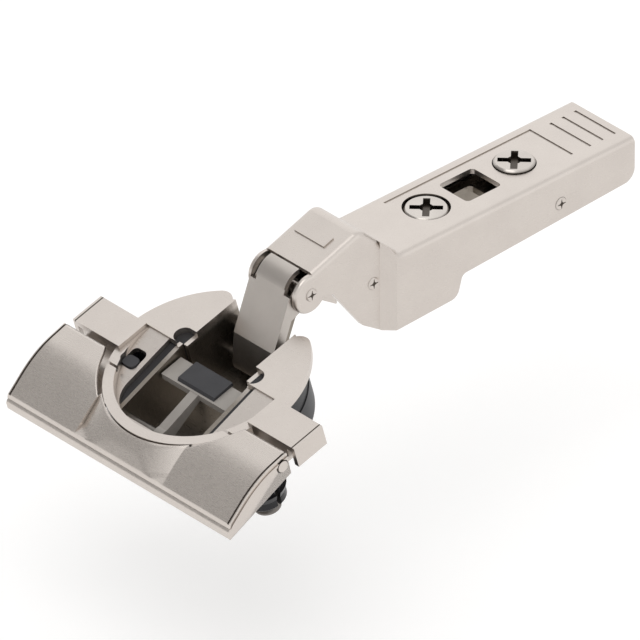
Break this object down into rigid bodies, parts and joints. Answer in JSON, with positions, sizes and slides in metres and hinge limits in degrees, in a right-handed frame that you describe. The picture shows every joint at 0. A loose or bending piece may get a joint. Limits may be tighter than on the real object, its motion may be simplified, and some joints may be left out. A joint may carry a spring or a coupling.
{
  "type": "concealed cup hinge",
  "caption": "Concealed furniture hinge, folded open: cranked clip-on arm, two links, and a damped cup with a flap that spreads two dowels.",
  "frame": {"origin": "on the arm's top plate, in the middle plane, where its front edge bends into the crank", "axes": "+X along the arm to its rear end, +Y across to the far side, +Z out of the arm's top plate"},
  "size_m": [0.1174, 0.0582, 0.0354],
  "materials": {
    "plated_steel": "satin nickel plate",
    "link_steel": "satin nickel plate",
    "pin_steel": "bright steel",
    "screw_steel": "nickel plate",
    "spring_steel": "oiled",
    "dark_plastic": "matt",
    "black_plastic": "matt",
    "grey_plastic": "matt"
  },
  "bodies": {
    "arm": {"hinge_arm": "plated_steel", "front_link_pin": "pin_steel", "rear_link_pin": "pin_steel", "guide_pin": "pin_steel", "closing_spring": "spring_steel"},
    "side_screw": {"side_screw": "screw_steel"},
    "depth_cam": {"depth_cam": "screw_steel"},
    "carriage": {"clip_rail": "plated_steel", "lever_pin": "pin_steel", "lever_spring": "spring_steel"},
    "lever": {"release_lever": "plated_steel"},
    "outer_link": {"outer_link": "link_steel"},
    "cup": {"cup_shell": "plated_steel", "cup_pin_outer": "pin_steel", "cup_pin_inner": "pin_steel", "ear_plate": "plated_steel", "damper_housing_left": "dark_plastic", "damper_housing_right": "dark_plastic", "rocker_pin": "pin_steel", "flap_pin_left": "pin_steel", "flap_pin_right": "pin_steel", "dowel_left": "black_plastic", "dowel_right": "black_plastic"},
    "inner_link": {"inner_link": "link_steel"},
    "rocker": {"damper_rocker": "grey_plastic", "rocker_pad": "dark_plastic"},
    "switch": {"damper_switch": "grey_plastic"},
    "flap": {"mounting_flap": "plated_steel"},
    "core_left": {"dowel_core_left": "pin_steel"},
    "core_right": {"dowel_core_right": "pin_steel"}
  },
  "joints": [
    {"name": "nose_pivot", "type": "hinge", "parent": "arm", "child": "outer_link", "pos_m": [-0.0209, 0, -0.0009], "axis": [0, 1, 0], "range_deg": [0, 3]},
    {"name": "door_fold", "type": "hinge", "parent": "outer_link", "child": "cup", "pos_m": [-0.02687, 0, -0.01645], "axis": [0, 1, 0], "range_deg": [0, 103]},
    {"name": "inner_link_pivot", "type": "hinge", "parent": "cup", "child": "inner_link", "pos_m": [-0.02542, 0, -0.01136], "axis": [0, 1, 0], "range_deg": [-128, 0], "deforming": ["closing_spring"]},
    {"name": "damper_rocker_swing", "type": "hinge", "parent": "cup", "child": "rocker", "pos_m": [-0.05078, 0, -0.0205], "axis": [0, 1, 0], "range_deg": [0, 33]},
    {"name": "damper_switch_slide", "type": "slide", "parent": "cup", "child": "switch", "axis": [0.9011, 0, 0.4337], "range_m": [0, 0.0016]},
    {"name": "flap_lift", "type": "hinge", "parent": "cup", "child": "flap", "pos_m": [-0.04878, 0, -0.01369], "axis": [0, 1, 0], "range_deg": [0, 80]},
    {"name": "core_left_slide", "type": "slide", "parent": "cup", "child": "core_left", "axis": [-0.2756, 0, 0.9613], "range_m": [0, 0.00125]},
    {"name": "core_right_slide", "type": "slide", "parent": "cup", "child": "core_right", "axis": [-0.2756, 0, 0.9613], "range_m": [0, 0.00125]},
    {"name": "side_screw_turn", "type": "hinge", "parent": "arm", "child": "side_screw", "pos_m": [0.0127, 0, 0], "axis": [0, 0, 1], "range_deg": [-360, 360]},
    {"name": "depth_cam_turn", "type": "hinge", "parent": "arm", "child": "depth_cam", "pos_m": [0.0341, 0, 0], "axis": [0, 0, 1], "range_deg": [-62, 62]},
    {"name": "carriage_slide", "type": "slide", "parent": "arm", "child": "carriage", "axis": [1, 0, 0], "range_m": [-0.0014, 0.0014]},
    {"name": "release_lever_pull", "type": "hinge", "parent": "carriage", "child": "lever", "pos_m": [0.0476, 0, -0.0066], "axis": [0, 1, 0], "range_deg": [-10, 0], "stiffness_Nm_per_rad": 0.02, "springref_deg": 5.73, "deforming": ["lever_spring"]}
  ],
  "couplings": [
    {"joint": "nose_pivot", "follows": "door_fold", "ratio": 0.029126},
    {"joint": "inner_link_pivot", "follows": "door_fold", "ratio": -1.2379},
    {"joint": "damper_rocker_swing", "follows": "door_fold", "ratio": 0.31068},
    {"joint": "core_left_slide", "follows": "flap_lift", "m_per_rad": 0.00085944},
    {"joint": "core_right_slide", "follows": "flap_lift", "m_per_rad": 0.00085944},
    {"joint": "depth_cam_turn", "follows": "carriage_slide", "rad_per_m": -760.46}
  ]
}
